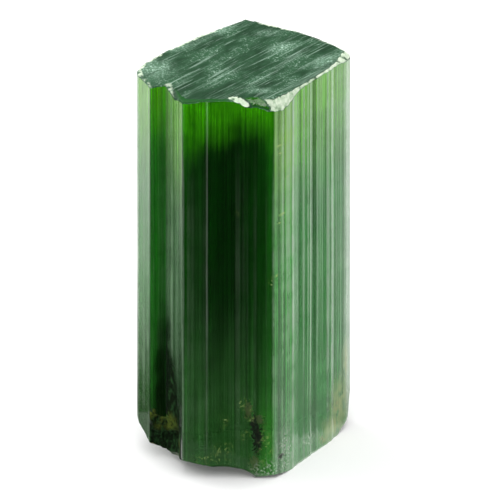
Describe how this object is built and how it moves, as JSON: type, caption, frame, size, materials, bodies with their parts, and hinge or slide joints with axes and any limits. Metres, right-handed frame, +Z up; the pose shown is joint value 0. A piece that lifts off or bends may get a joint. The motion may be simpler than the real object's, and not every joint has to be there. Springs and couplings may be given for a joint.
{
  "type": "tourmaline crystal",
  "caption": "Loose green tourmaline crystal: a striated prism, broken across at both ends, standing on its base.",
  "frame": {"origin": "centre of the rectangle round the crystal, on the surface that its base rests on", "axes": "+Z up along the crystal's long axis, -Y towards its widest smooth face, +X to that face's right"},
  "size_m": [0.0204, 0.0194, 0.0387],
  "materials": {
    "green_tourmaline": "clear deep green stone with glassy striated sides and a matt broken top"
  },
  "bodies": {
    "root": {"crystal": "green_tourmaline"}
  },
  "joints": []
}
